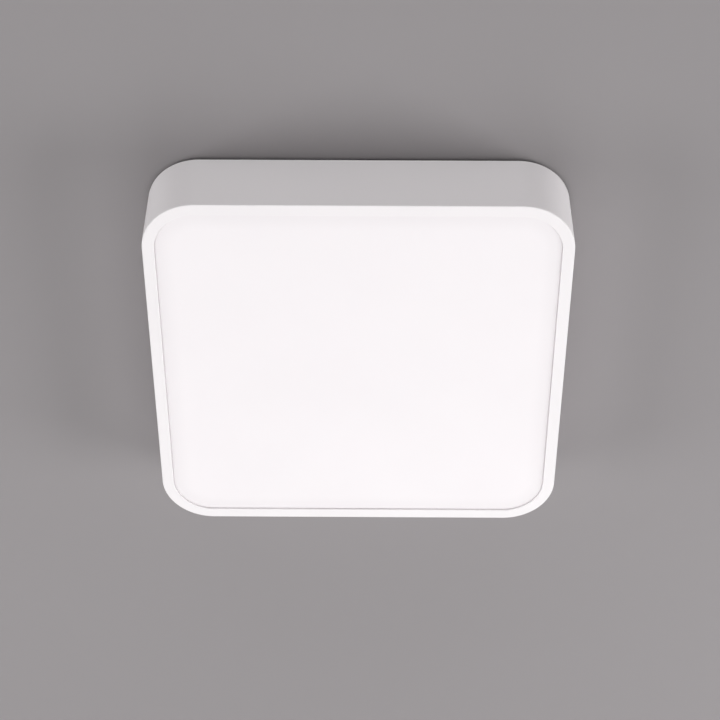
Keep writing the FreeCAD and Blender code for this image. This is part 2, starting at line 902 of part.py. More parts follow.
def jumper_lead(row, following, sign):
    """Twin lead from the end of one bar to the same end of the next."""
    lane = sign * (bar_end + bar_lane)
    return lead([
        point(sign * plug_end, row, lead_level),
        point(lane, row, lead_level),
        point(lane, following, lead_level),
        point(sign * plug_end, following, lead_level),
    ], flat_section(twin_lead_width, twin_lead_height))


def saddle(x, y, turn, lead_width, lead_height):
    """Arch stuck to the pan that holds one lead, or a pair of the stated width."""
    inner = lead_width + 2 * lead_clearance
    roof = lead_level - lead_height / 2 - lead_clearance
    outer = inner + 2 * saddle_wall
    body = centred_block(0, 0, outer, saddle_length, (roof - saddle_wall, web_face))
    feet = centred_block(0, 0, outer + 2 * saddle_foot, saddle_length, (web_face - saddle_wall, web_face))
    tunnel = centred_block(0, 0, inner, 2 * saddle_length, (roof, web_face - saddle_wall))
    solid = body.fuse(feet).cut(tunnel).removeSplitter()
    solid.rotate(point(0, 0, 0), UP, turn)
    solid.translate(point(x, y, 0))
    return solid


def lead_saddles():
    """A saddle on each long run."""
    jumper_x = bar_end + bar_lane
    saddles = []
    for number, sign in ((0, 1), (1, -1), (2, 1)):
        middle = (rows[number] + rows[number + 1]) / 2
        saddles.append(saddle(sign * jumper_x, middle, 0, twin_lead_width, twin_lead_height))
    saddles.append(saddle(led_saddle_x, led_lane_y, 90, twin_lead_width, twin_lead_height))
    pair_width = neutral_lane - live_lane + 2 * mains_lead_radius
    saddles.append(saddle(terminal_end + (live_lane + neutral_lane) / 2, (pole_pitch + rows[2]) / 2, 0,
                          pair_width, 2 * mains_lead_radius))
    return Part.makeCompound(saddles)


def all_parts():
    """Every sub-part by the name of its node."""
    parts = {
        "cover_frame": cover_frame(),
        "diffuser": diffuser(),
        "diffuser_seal": diffuser_seal(),
        "base_pan": base_pan(),
        "cable_grommet": cable_grommet(),
        "bar_connectors": bar_connectors(),
        "bar_screws": bar_screws(),
        "driver_case": driver_case(),
        "driver_lid": driver_lid(),
        "driver_board": driver_board(),
        "driver_transformer": driver_transformer(),
        "driver_capacitors": driver_capacitors(),
        "driver_chips": driver_chips(),
        "driver_screws": driver_screws(),
        "terminal_housing": terminal_housing(),
        "terminal_contacts": terminal_contacts(),
        "terminal_screws": terminal_screws(),
        "live_lead": supply_lead(poles[2], live_lane, -driver_lead_offset),
        "neutral_lead": supply_lead(poles[1], neutral_lane, driver_lead_offset),
        "earth_lead": earth_lead(),
        "earth_lug": earth_lug(),
        "earth_screw": earth_screw(),
        "led_lead": led_lead(),
        "lead_saddles": lead_saddles(),
    }
    for turn, place in enumerate(("right", "back", "left", "front")):
        parts["spring_clip_" + place] = spring_clip(turn)
    for number, row in enumerate(rows, 1):
        parts["led_bar_" + str(number)] = led_bar(row)
        parts["led_chips_" + str(number)] = led_chips(row)
    for number, (row, following) in enumerate(zip(rows, rows[1:]), 1):
        parts["jumper_lead_" + str(number)] = jumper_lead(row, following, (-1) ** (number + 1))
    for name, pole in zip(("earth", "neutral", "live"), poles):
        parts["release_button_" + name] = release_button(pole)
    return parts


os.makedirs("parts", exist_ok=True)
for node, shape in all_parts().items():
    shape.exportStep("parts/" + node + ".step")
    print(node, "solids", len(shape.Solids), "valid", shape.isValid(), "volume", round(shape.Volume, 1))
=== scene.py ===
import json
import math
from functools import partial

import bmesh
import bpy
from mathutils import Matrix, Vector

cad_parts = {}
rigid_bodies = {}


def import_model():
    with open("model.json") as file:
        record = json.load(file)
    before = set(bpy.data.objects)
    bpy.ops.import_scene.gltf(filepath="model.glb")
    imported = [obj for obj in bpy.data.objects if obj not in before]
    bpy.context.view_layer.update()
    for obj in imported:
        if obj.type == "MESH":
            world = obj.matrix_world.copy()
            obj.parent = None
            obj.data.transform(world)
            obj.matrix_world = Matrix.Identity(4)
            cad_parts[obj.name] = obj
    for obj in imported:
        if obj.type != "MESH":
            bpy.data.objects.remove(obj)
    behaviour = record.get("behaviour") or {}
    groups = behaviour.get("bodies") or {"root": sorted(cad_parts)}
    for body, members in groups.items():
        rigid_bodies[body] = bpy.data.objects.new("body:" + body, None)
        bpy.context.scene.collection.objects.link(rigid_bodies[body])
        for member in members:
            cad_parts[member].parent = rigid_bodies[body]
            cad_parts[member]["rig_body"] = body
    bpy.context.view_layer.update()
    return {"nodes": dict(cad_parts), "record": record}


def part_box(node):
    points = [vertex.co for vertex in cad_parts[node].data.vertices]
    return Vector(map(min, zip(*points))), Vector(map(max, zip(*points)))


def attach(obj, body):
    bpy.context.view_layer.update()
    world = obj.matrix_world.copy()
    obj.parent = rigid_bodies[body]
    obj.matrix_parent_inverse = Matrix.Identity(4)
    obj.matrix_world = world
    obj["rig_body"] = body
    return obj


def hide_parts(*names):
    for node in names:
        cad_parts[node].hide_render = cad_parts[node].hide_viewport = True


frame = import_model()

# Square flush mount ceiling light, in metres, hanging below the ceiling plane z = 0.
mm = 0.001
nodes = frame["nodes"]
record = frame["record"]
slot_of = {entry["node"]: entry["material_slot"] for entry in record["subparts"]}
mounts = {mount["name"]: mount for mount in record["mounts"]}

# Sizes of the cover, read from the frame or shared by its round corners
frame_low, frame_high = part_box("cover_frame")
diffuser_low, diffuser_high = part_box("diffuser")
seal_low, seal_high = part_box("diffuser_seal")
half = frame_high.x
corner_radius = 38.0 * mm
corner_centre = half - corner_radius
frame_wall = 2.4 * mm
lip_width = 8.6 * mm
lip_edge_round = 0.8 * mm
lip_back = seal_low.z
lip_face = half - lip_width
wall_face = half - frame_wall
seal_inset = 0.1 * mm
tray_gap = 1.0 * mm
diffuser_half = lip_face - tray_gap
diffuser_wall = 2.0 * mm
face_set_back = 0.7 * mm
face_gap = 0.12 * mm
face_round = 0.8 * mm
diffuser_face = diffuser_low.z + face_set_back
rim_back = diffuser_high.z
rim_half = diffuser_high.x

# Snap features inside the cover
buried = 0.3 * mm
lug_offsets = (-70 * mm, 0.0, 70 * mm)
lug_length = 12.0 * mm
lug_overlap = 1.6 * mm
lug_nose = 0.8 * mm
lug_rise = 4.0 * mm
lug_gap = 0.1 * mm
rib_offsets = (-95 * mm, -45 * mm, 45 * mm, 95 * mm)
rib_thickness = 1.6 * mm
rib_foot_depth = 1.2 * mm
rib_foot_gap = 1.0 * mm
rib_nose_height = 3.0 * mm
rib_overlap = 0.8 * mm
stop_gap = 0.3 * mm
ridge_length = 30.0 * mm
ridge_depth = 1.6 * mm
ridge_flat = 2.4 * mm
ridge_top = -10.8 * mm

# Base pan; its feet and beads have an upper and a lower face: level, half sizes and corner
pan_low, pan_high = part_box("base_pan")
pan_half = pan_high.x
sheet = 1.0 * mm
foot_height = 4.0 * mm
foot_slope = 3.0 * mm
foot_bend = 1.2 * mm
web_top = -foot_height
web_face = web_top - sheet
foot_faces = ((web_top, 18 * mm, 15 * mm, 8 * mm), (web_face, 17.5 * mm, 14.5 * mm, 7.5 * mm))
bead_height = 1.5 * mm
bead_slope = 1.2 * mm
bead_bend = 0.6 * mm
bead_faces = ((web_top, 38 * mm, 4 * mm, 3.99 * mm), (web_face, 37.4 * mm, 3.4 * mm, 3.39 * mm))
bead_beside_cable = 60.3 * mm
cable_hole = 6.1 * mm
slot_length = 14.0 * mm
slot_width = 5.2 * mm
screw_clearance = 0.1 * mm

# Light bars
bar_boxes = [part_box("led_bar_%d" % number) for number in range(1, 5)]
bar_rows = sorted((low.y + high.y) / 2 for low, high in bar_boxes)
rows_middle = (bar_rows[2] + bar_rows[3]) / 2
bar_row = (bar_rows[3] - bar_rows[2]) / 2
bar_face = bar_boxes[0][0].z
chip_pitch = 20.0 * mm


def material_tree(name, colour, roughness, **sockets):
    """New material with one Principled shader, and its node tree."""
    material = bpy.data.materials.new(name + "_finish")
    material.use_nodes = True
    tree = material.node_tree
    shader = tree.nodes["Principled BSDF"]
    shader.inputs["Base Color"].default_value = (*colour, 1)
    shader.inputs["Roughness"].default_value = roughness
    for socket, value in sockets.items():
        shader.inputs[socket.replace("_", " ")].default_value = value
    return material, tree, shader


def add(tree, kind, inputs=(), **settings):
    """New node whose inputs are set from values or linked from sockets."""
    node = tree.nodes.new(kind)
    for setting, value in settings.items():
        setattr(node, setting, value)
    for socket, value in dict(inputs).items():
        if isinstance(value, bpy.types.NodeSocket):
            tree.links.new(value, node.inputs[socket])
        else:
            node.inputs[socket].default_value = value
    return node


def calculate(tree, operation, *values):
    """Result of one Math node."""
    return add(tree, "ShaderNodeMath", enumerate(values), operation=operation).outputs[0]


def vectors(tree, operation, *values):
    """Outputs of one Vector Math node."""
    return add(tree, "ShaderNodeVectorMath", enumerate(values), operation=operation).outputs


def axes_of(tree, vector):
    return add(tree, "ShaderNodeSeparateXYZ", {0: vector}).outputs


def noise(tree, place, scale, detail, roughness):
    return add(tree, "ShaderNodeTexNoise", {"Vector": place, "Scale": scale, "Detail": detail,
                                            "Roughness": roughness}).outputs[0]


def blend(tree, share, first, second):
    """Colour between two, each given as a socket or as its values."""
    ends = {index: end if isinstance(end, bpy.types.NodeSocket) else (*end, 1)
            for index, end in ((6, first), (7, second))}
    return add(tree, "ShaderNodeMix", {"Factor": share, **ends}, data_type="RGBA").outputs[2]


def position(tree):
    return add(tree, "ShaderNodeTexCoord").outputs["Object"]


def new_tree(kind, name, inputs, outputs):
    """New node tree with named sockets, and what goes in and its output node."""
    tree = bpy.data.node_groups.new(name, kind + "NodeTree")
    for in_out, sockets in (("INPUT", inputs), ("OUTPUT", outputs)):
        for socket, value in sockets.items():
            tree.interface.new_socket(socket, in_out=in_out, socket_type="NodeSocket" + value)
    return tree, tree.nodes.new("NodeGroupInput").outputs, tree.nodes.new("NodeGroupOutput")


def give(tree, node, **results):
    """Links results to a node's inputs."""
    for socket, result in results.items():
        tree.links.new(result, node.inputs[socket.replace("_", " ")])


def use(tree, group, **inputs):
    """One effect placed in a material with its own values."""
    named = {socket.replace("_", " "): value for socket, value in inputs.items()}
    return add(tree, "ShaderNodeGroup", named, node_tree=group).outputs


def grain_effect():
    """Fine moulded or sprayed surface: a height, and a tone that drifts over the piece."""
    group, given, out = new_tree("Shader", "Surface grain",
                                 {"Place": "Vector", "Size": "Float", "Drift": "Float"},
                                 {"Height": "Float", "Tone": "Float"})
    per_metre = calculate(group, "DIVIDE", 1.0, given["Size"])
    give(group, out, Height=noise(group, given["Place"], per_metre, 3.0, 0.6),
         Tone=noise(group, given["Place"], given["Drift"], 2.0, 0.5))
    return group


def wear_effect():
    """Colour and roughness that drift with a tone, between a clean and a handled state."""
    group, given, out = new_tree("Shader", "Handled tone",
                                 {"Tone": "Float", "Clean": "Color", "Handled": "Color",
                                  "Smooth": "Float", "Rough": "Float"},
                                 {"Color": "Color", "Roughness": "Float"})
    share = add(group, "ShaderNodeMapRange",
                {"Value": given["Tone"], "From Min": 0.3, "From Max": 0.7}).outputs[0]
    rough = add(group, "ShaderNodeMapRange",
                {"Value": share, "To Min": given["Smooth"], "To Max": given["Rough"]}).outputs[0]
    give(group, out, Color=blend(group, share, given["Clean"], given["Handled"]), Roughness=rough)
    return group


def brushed_effect():
    """Fine parallel lines from rolling or brushing, along one axis of the piece."""
    group, given, out = new_tree("Shader", "Brushed lines",
                                 {"Place": "Vector", "Stretch": "Vector"},
                                 {"Height": "Float", "Tone": "Float"})
    drawn = vectors(group, "MULTIPLY", given["Place"], given["Stretch"])[0]
    lines = noise(group, drawn, 1.0, 4.0, 0.7)
    give(group, out, Height=lines, Tone=lines)
    return group


def edge_distance_effect():
    """Distance from a place to the outline of a square with round corners."""
    group, given, out = new_tree("Shader", "Distance inside the edge",
                                 {"Place": "Vector", "Half": "Float", "Corner": "Float"},
                                 {"Distance": "Float"})
    straight = calculate(group, "SUBTRACT", given["Half"], given["Corner"])
    reach = add(group, "ShaderNodeCombineXYZ", {"X": straight, "Y": straight}).outputs[0]
    flat = vectors(group, "MULTIPLY", given["Place"], (1, 1, 0))[0]
    past = vectors(group, "SUBTRACT", vectors(group, "ABSOLUTE", flat)[0], reach)[0]
    length = vectors(group, "LENGTH", vectors(group, "MAXIMUM", past, (0, 0, 0))[0])["Value"]
    axes = axes_of(group, past)
    inner = calculate(group, "MINIMUM", calculate(group, "MAXIMUM", axes["X"], axes["Y"]), 0.0)
    beyond = calculate(group, "ADD", length, inner)
    give(group, out, Distance=calculate(group, "SUBTRACT", given["Corner"], beyond))
    return group


grain = grain_effect()
wear = wear_effect()
brushed = brushed_effect()
edge_distance = edge_distance_effect()


def bump(tree, shader, height, strength, depth):
    """Height pushed into the shader's normal, with the depth in metres."""
    node = add(tree, "ShaderNodeBump", {"Height": height, "Strength": strength, "Distance": depth})
    give(tree, shader, Normal=node.outputs[0])


def worn(tree, shader, tone, clean, handled, smooth, rough):
    """Lets colour and roughness drift with a tone; the result is the colour."""
    looks = use(tree, wear, Tone=tone, Clean=(*clean, 1), Handled=(*handled, 1), Smooth=smooth,
                Rough=rough)
    give(tree, shader, Base_Color=looks["Color"], Roughness=looks["Roughness"])
    return looks["Color"]


def moulded(name, clean, handled, smooth, rough, size=0.5 * mm, depth=0.02 * mm, strength=0.6,
            drift=25.0):
    """Plastic, rubber, paint or sleeve with a grain and a tone that drifts."""
    material, tree, shader = material_tree(name, clean, smooth)
    texture = use(tree, grain, Place=position(tree), Size=size, Drift=drift)
    colour = worn(tree, shader, texture["Tone"], clean, handled, smooth, rough)
    bump(tree, shader, texture["Height"], strength, depth)
    return material, tree, shader, colour


def metal(name, clean, handled, smooth, rough, stretch):
    """Drawn or brushed metal."""
    material, tree, shader = material_tree(name, clean, smooth, Metallic=1.0)
    lines = use(tree, brushed, Place=position(tree), Stretch=stretch)
    worn(tree, shader, lines["Tone"], clean, handled, smooth, rough)
    bump(tree, shader, lines["Height"], 0.5, 0.01 * mm)
    return material


def opal_acrylic():
    """Opal sheet whose face glows, a little less beside its edge."""
    clean, handled = (0.72, 0.69, 0.705), (0.71, 0.68, 0.695)
    beside_edge, in_middle = (0.80, 0.768, 0.78), (1.0, 0.96, 0.975)
    fade_width, face_depth = 14.0 * mm, 1.5 * mm
    material, tree, shader = material_tree("opal_acrylic", clean, 0.42, Specular_IOR_Level=0.3,
                                           Emission_Strength=0.185)
    place = position(tree)
    inside = use(tree, edge_distance, Place=place, Half=diffuser_half,
                 Corner=diffuser_half - corner_centre)["Distance"]
    fade = add(tree, "ShaderNodeMapRange",
               {"Value": inside, "From Min": 0.0, "From Max": fade_width},
               interpolation_type="SMOOTHSTEP").outputs[0]
    level = axes_of(tree, place)["Z"]
    front = calculate(tree, "LESS_THAN", level, diffuser_face + face_depth)
    lit = blend(tree, front, (0, 0, 0), blend(tree, fade, beside_edge, in_middle))
    give(tree, shader, Emission_Color=lit)
    texture = use(tree, grain, Place=place, Size=1.5 * mm, Drift=14.0)
    worn(tree, shader, texture["Tone"], clean, handled, 0.4, 0.48)
    bump(tree, shader, texture["Height"], 0.15, 0.01 * mm)
    return material


def striped_lead():
    """Green sleeve with a yellow stripe that winds slowly round it."""
    material, tree, shader, green = moulded("lead_green_yellow", (0.08, 0.32, 0.07),
                                            (0.09, 0.28, 0.07), 0.35, 0.5)
    axes = axes_of(tree, position(tree))
    along = calculate(tree, "ADD", axes["X"], axes["Y"])
    wound = calculate(tree, "SINE", calculate(tree, "MULTIPLY", along, 420.0))
    stripe = calculate(tree, "GREATER_THAN", wound, 0.1)
    give(tree, shader, Base_Color=blend(tree, stripe, green, (0.75, 0.62, 0.04)))
    return material


def chip_package():
    """White package whose window, marked on the mesh, holds yellow phosphor."""
    material, tree, shader, white = moulded("chip_phosphor", (0.84, 0.82, 0.76),
                                            (0.81, 0.79, 0.73), 0.3, 0.42, size=0.2 * mm)
    window = add(tree, "ShaderNodeAttribute", attribute_name="Window").outputs["Fac"]
    give(tree, shader, Base_Color=blend(tree, window, white, (0.90, 0.66, 0.10)))
    return material


def bar_pattern_effect():
    """Masks of a light bar: its face, the copper under the white lacquer and the tinned pads."""
    copper_reach, copper_gap = 5.4 * mm, 0.5 * mm
    pad_width, pad_length = 1.1 * mm, 2.4 * mm
    group, given, out = new_tree("Shader", "Light bar pattern",
                                 {"Place": "Vector", "Face": "Float", "Pitch": "Float",
                                  "Row": "Float", "Rows middle": "Float"},
                                 {"Face": "Float", "Copper": "Float", "Pads": "Float"})
    step = partial(calculate, group)
    axes = axes_of(group, given["Place"])
    side = step("SUBTRACT", step("ABSOLUTE", axes["Y"]), given["Rows middle"])
    across = step("ABSOLUTE", step("SUBTRACT", step("ABSOLUTE", side), given["Row"]))
    share = step("FRACT", step("DIVIDE", axes["X"], given["Pitch"]))
    along = step("MULTIPLY", given["Pitch"], step("ABSOLUTE", step("SUBTRACT", share, 0.5)))
    face = step("LESS_THAN", axes["Z"], given["Face"])
    wide = step("LESS_THAN", across, copper_reach)
    apart = step("GREATER_THAN", along, copper_gap)
    narrow = step("LESS_THAN", across, pad_width)
    near = step("LESS_THAN", along, pad_length)
    copper = step("MULTIPLY", step("MULTIPLY", wide, apart), face)
    pads = step("MULTIPLY", step("MULTIPLY", narrow, near), copper)
    give(group, out, Face=face, Copper=copper, Pads=pads)
    return group


def light_bar():
    """Aluminium strip with white lacquer over its copper, and tinned pads beside each chip."""
    material, tree, shader, milled = moulded("bar_aluminium", (0.60, 0.60, 0.61),
                                             (0.52, 0.52, 0.53), 0.3, 0.42, size=0.25 * mm)
    mask = use(tree, bar_pattern_effect(), Place=position(tree), Face=bar_face + 0.08 * mm,
               Pitch=chip_pitch, Row=bar_row, Rows_middle=rows_middle)
    lacquer = blend(tree, mask["Copper"], (0.80, 0.80, 0.78), (0.87, 0.87, 0.85))
    coated = blend(tree, mask["Face"], milled, lacquer)
    tinned = blend(tree, mask["Pads"], coated, (0.56, 0.56, 0.55))
    covered = calculate(tree, "SUBTRACT", mask["Face"], mask["Pads"])
    bare = calculate(tree, "SUBTRACT", 1.0, covered)
    give(tree, shader, Base_Color=tinned, Metallic=bare)
    bump(tree, shader, mask["Copper"], 0.6, 0.03 * mm)
    return material


# Clean and handled colour, smoothest and roughest; some add the size, depth and strength of
# their grain and how often its tone changes in a metre
moulded_looks = {
    "frame_plastic": ((0.875, 0.845, 0.858), (0.862, 0.832, 0.845), 0.36, 0.46,
                      0.35 * mm, 0.01 * mm, 0.5, 12.0),
    "seal_foam": ((0.42, 0.42, 0.41), (0.36, 0.36, 0.35), 0.85, 0.95, 0.5 * mm, 0.08 * mm),
    "pan_steel": ((0.78, 0.78, 0.765), (0.765, 0.765, 0.75), 0.42, 0.5, 0.9 * mm, 0.015 * mm),
    "grommet_rubber": ((0.015, 0.015, 0.015), (0.025, 0.025, 0.025), 0.55, 0.75),
    "connector_plastic": ((0.80, 0.79, 0.74), (0.77, 0.76, 0.71), 0.4, 0.5),
    "driver_plastic": ((0.72, 0.72, 0.70), (0.69, 0.69, 0.67), 0.45, 0.58, 0.6 * mm, 0.04 * mm),
    "circuit_board": ((0.02, 0.13, 0.05), (0.02, 0.10, 0.04), 0.3, 0.42),
    "transformer_ferrite": ((0.03, 0.03, 0.032), (0.05, 0.05, 0.05), 0.5, 0.7),
    "capacitor_sleeve": ((0.01, 0.015, 0.03), (0.012, 0.02, 0.035), 0.2, 0.3),
    "chip_resin": ((0.01, 0.01, 0.01), (0.015, 0.015, 0.015), 0.55, 0.7),
    "terminal_plastic": ((0.30, 0.31, 0.32), (0.27, 0.28, 0.29), 0.42, 0.55),
    "button_plastic": ((0.85, 0.16, 0.02), (0.78, 0.14, 0.02), 0.35, 0.45),
    "lead_brown": ((0.09, 0.028, 0.012), (0.075, 0.024, 0.01), 0.35, 0.5),
    "lead_blue": ((0.012, 0.06, 0.32), (0.01, 0.05, 0.27), 0.35, 0.5),
    "lead_white": ((0.78, 0.78, 0.75), (0.74, 0.74, 0.71), 0.38, 0.5),
    "saddle_plastic": ((0.74, 0.74, 0.71), (0.70, 0.70, 0.67), 0.42, 0.52),
}

# Clean and handled colour, smoothest and roughest, and how fine the lines are along each axis
metal_looks = {
    "spring_steel": ((0.56, 0.56, 0.57), (0.44, 0.43, 0.42), 0.22, 0.34, (300, 300, 9000)),
    "screw_steel": ((0.60, 0.60, 0.60), (0.50, 0.50, 0.51), 0.2, 0.34, (2500, 2500, 400)),
    "contact_brass": ((0.72, 0.50, 0.18), (0.60, 0.40, 0.14), 0.22, 0.36, (2500, 2500, 400)),
    "lug_tin": ((0.62, 0.62, 0.60), (0.54, 0.54, 0.53), 0.25, 0.4, (2500, 2500, 400)),
}

finishes = {"opal_acrylic": opal_acrylic(), "bar_aluminium": light_bar(),
            "chip_phosphor": chip_package(), "lead_green_yellow": striped_lead()}
finishes.update((name, moulded(name, *looks)[0]) for name, looks in moulded_looks.items())
finishes.update((name, metal(name, *looks)) for name, looks in metal_looks.items())


def placed(name, data):
    """New object in the scene."""
    thing = bpy.data.objects.new(name, data)
    bpy.context.scene.collection.objects.link(thing)
    return thing


def opened(piece):
    """A piece's mesh, ready to be changed."""
    bm = bmesh.new()
    bm.from_mesh(piece.data)
    return bm


def filled(piece, bm):
    """Writes a mesh in the making into a piece, with smooth faces."""
    for face in bm.faces:
        face.smooth = True
    bm.to_mesh(piece.data)
    bm.free()
    return piece


def piece_from(bm, name):
    return filled(placed(name, bpy.data.meshes.new(name)), bm)


def made_mesh(thing):
    """Plain mesh of what a thing's modifiers or curve make."""
    made = thing.evaluated_get(bpy.context.evaluated_depsgraph_get())
    return bpy.data.meshes.new_from_object(made)


def settle(piece):
    """Turns what the modifiers make into the piece's own mesh."""
    mesh = made_mesh(piece)
    piece.modifiers.clear()
    piece.data = mesh
    mesh.name = piece.name
    return piece


def hold_flats(piece):
    """Shading that keeps large faces flat and small edge rounds soft."""
    modifier = piece.modifiers.new("Flat faces", "WEIGHTED_NORMAL")
    modifier.mode = "FACE_AREA"
    modifier.keep_sharp = True
    return settle(piece)


def soften(piece, edge_round):
    """Small round on every sharp edge."""
    bevel = piece.modifiers.new("Soft edges", "BEVEL")
    bevel.width = edge_round
    bevel.segments = 2
    bevel.limit_method = "ANGLE"
    bevel.angle_limit = math.radians(35)
    bevel.use_clamp_overlap = True
    bevel.harden_normals = True
    return settle(piece)


def carve(piece, tool):
    """Cuts one piece out of another and deletes it."""
    cut = piece.modifiers.new("Carved", "BOOLEAN")
    cut.object = tool
    cut.solver = "EXACT"
    settle(piece)
    bpy.data.objects.remove(tool)
    return piece


def stands_for(piece, *replaced):
    """Finish and body of the nodes that a piece replaces, and those nodes hidden."""
    if not piece.data.materials:
        piece.data.materials.append(finishes[slot_of[replaced[0]]])
    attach(piece, nodes[replaced[0]]["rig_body"])
    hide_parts(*replaced)


def closed(bm):
    """Outward faces on a finished closed shell."""
    bmesh.ops.remove_doubles(bm, verts=bm.verts, dist=0.0005 * mm)
    bmesh.ops.recalc_face_normals(bm, faces=bm.faces)


def fill_level(bm, level):
    """Flat faces between all open loops that lie at one level."""
    edges = [edge for edge in bm.edges if edge.is_boundary
             and all(abs(vertex.co.z - level) < 0.001 * mm for vertex in edge.verts)]
    bmesh.ops.triangle_fill(bm, use_beauty=True, use_dissolve=False, edges=edges)


def outline(x, y, half_x, half_y, corner, level, steps=8):
    """Points round a rectangle with round corners, at one level."""
    points = []
    for quarter, (sign_x, sign_y) in enumerate(((1, 1), (-1, 1), (-1, -1), (1, -1))):
        centre_x = x + sign_x * (half_x - corner)
        centre_y = y + sign_y * (half_y - corner)
        for step in range(steps + 1):
            angle = math.radians(90 * (quarter + step / steps))
            points.append(Vector((centre_x + corner * math.cos(angle),
                                  centre_y + corner * math.sin(angle), level)))
    return points


def circle(x, y, radius, level, columns):
    angles = [2 * math.pi * step / columns for step in range(columns)]
    return [Vector((x + radius * math.cos(angle), y + radius * math.sin(angle), level))
            for angle in angles]


def loft(bm, loops, ends="open"):
    """Faces between loops of points, whose ends stay open, get caps or are joined to each other."""
    rings = [[bm.verts.new(point) for point in loop] for loop in loops]
    pairs = list(zip(rings, rings[1:]))
    if ends == "joined":
        pairs.append((rings[-1], rings[0]))
    for lower, upper in pairs:
        for index in range(len(lower)):
            following = (index + 1) % len(lower)
            bm.faces.new((lower[index], lower[following], upper[following], upper[index]))
    if ends == "capped":
        bm.faces.new(rings[0][::-1])
        bm.faces.new(rings[-1])
    return rings


def rounded(corners, steps=5):
    """Profile points from (out, up, round) corners; each corner gets an arc of its own radius."""
    points = []
    for index, (x, z, radius) in enumerate(corners):
        here = Vector((x, z))
        before = Vector(corners[index - 1][:2])
        after = Vector(corners[(index + 1) % len(corners)][:2])
        if not radius:
            points.append(here)
            continue
        back = (before - here).normalized()
        onward = (after - here).normalized()
        half_turn = back.angle(onward) / 2
        reach = radius / math.tan(half_turn)
        centre = here + (back + onward).normalized() * (radius / math.sin(half_turn))
        start = here + back * reach - centre
        sweep = start.angle_signed(here + onward * reach - centre)
        for step in range(steps + 1):
            turn = Matrix.Rotation(-sweep * step / steps, 2)
            points.append(centre + turn @ start)
    return points


def merged(node):
    """Mesh of a CAD node whose loose triangles are joined."""
    bm = opened(nodes[node])
    bmesh.ops.remove_doubles(bm, verts=bm.verts, dist=0.001 * mm)
    return bm


def islands(node):
    """Lowest and highest corner of each separate solid in a node, in order of x, y and z."""
    bm = merged(node)
    waiting = set(bm.verts)
    found = []
    while waiting:
        group = [waiting.pop()]
        for vertex in group:
            for edge in vertex.link_edges:
                other = edge.other_vert(vertex)
                if other in waiting:
                    waiting.remove(other)
                    group.append(other)
        low = Vector(min(vertex.co[axis] for vertex in group) for axis in range(3))
        high = Vector(max(vertex.co[axis] for vertex in group) for axis in range(3))
        found.append((low, high))
    bm.free()
    return sorted(found, key=lambda box: tuple(round(value, 5) for value in (*box[0], *box[1])))


def refined(node, edge_round):
    """Copy of a node with its flat faces whole again and its edges softly rounded."""
    bm = merged(node)
    flat = math.radians(0.5)
    bmesh.ops.dissolve_limit(bm, angle_limit=flat, verts=bm.verts, edges=bm.edges)
    bmesh.ops.recalc_face_normals(bm, faces=bm.faces)
    piece = soften(piece_from(bm, node + "_form"), edge_round)
    stands_for(piece, node)
    return piece


# Geometry node trees


def geometry_tree(name, inputs):
    """New geometry node tree: a geometry and more inputs in, a geometry out."""
    shape = {"Geometry": "Geometry"}
    return new_tree("Geometry", name, {**shape, **inputs}, shape)


def end_tree(tree, shape, finish, out):
    real = add(tree, "GeometryNodeRealizeInstances", {0: shape})
    coated = add(tree, "GeometryNodeSetMaterial", {"Geometry": real.outputs[0], "Material": finish})
    tree.links.new(coated.outputs[0], out.inputs[0])


def grow(piece, tree, **inputs):
    """Runs a geometry node tree on a piece and keeps the result as its mesh."""
    modifier = piece.modifiers.new(tree.name, "NODES")
    modifier.node_group = tree
    for item in tree.interface.items_tree:
        name = item.name.replace(" ", "_")
        if item.in_out == "INPUT" and name in inputs:
            modifier[item.identifier] = inputs[name]
    settle(piece)
    piece.data.materials.clear()
    piece.data.materials.append(inputs["Finish"])
    return piece


def ring_tree():
    """Profile swept round a square path with round corners."""
    tree, given, out = geometry_tree("Ring round the light",
                                     {"Half side": "Float", "Corner": "Float",
                                      "Corner steps": "Int", "Finish": "Material"})
    profile = add(tree, "GeometryNodeMeshToCurve", {0: given["Geometry"]})
    side = calculate(tree, "MULTIPLY", given["Half side"], 2.0)
    path = add(tree, "GeometryNodeCurvePrimitiveQuadrilateral", {"Width": side, "Height": side})
    soft = add(tree, "GeometryNodeFilletCurve",
               {"Curve": path.outputs[0], "Radius": given["Corner"],
                "Count": given["Corner steps"], "Limit Radius": True}, mode="POLY")
    upright = add(tree, "GeometryNodeSetCurveNormal", {"Curve": soft.outputs[0]}, mode="Z_UP")
    swept = add(tree, "GeometryNodeCurveToMesh",
                {"Curve": upright.outputs[0], "Profile Curve": profile.outputs[0]})
    end_tree(tree, swept.outputs[0], given["Finish"], out)
    return tree


def sides_tree():
    """Features of one side repeated on all four, joined to the ring that carries them."""
    tree, given, out = geometry_tree("Four sides", {"Ring": "Object", "Finish": "Material"})
    spots = add(tree, "GeometryNodeMeshLine", {"Count": 4, "Offset": (0, 0, 0)})
    number = add(tree, "GeometryNodeInputIndex")
    turn = calculate(tree, "MULTIPLY", number.outputs[0], math.pi / 2)
    facing = add(tree, "ShaderNodeCombineXYZ", {"Z": turn})
    sides = add(tree, "GeometryNodeInstanceOnPoints",
                {"Points": spots.outputs[0], "Instance": given["Geometry"],
                 "Rotation": facing.outputs[0]})
    ring_piece = add(tree, "GeometryNodeObjectInfo", {"Object": given["Ring"]})
    whole = add(tree, "GeometryNodeJoinGeometry")
    tree.links.new(sides.outputs[0], whole.inputs[0])
    tree.links.new(ring_piece.outputs["Geometry"], whole.inputs[0])
    end_tree(tree, whole.outputs[0], given["Finish"], out)
    return tree


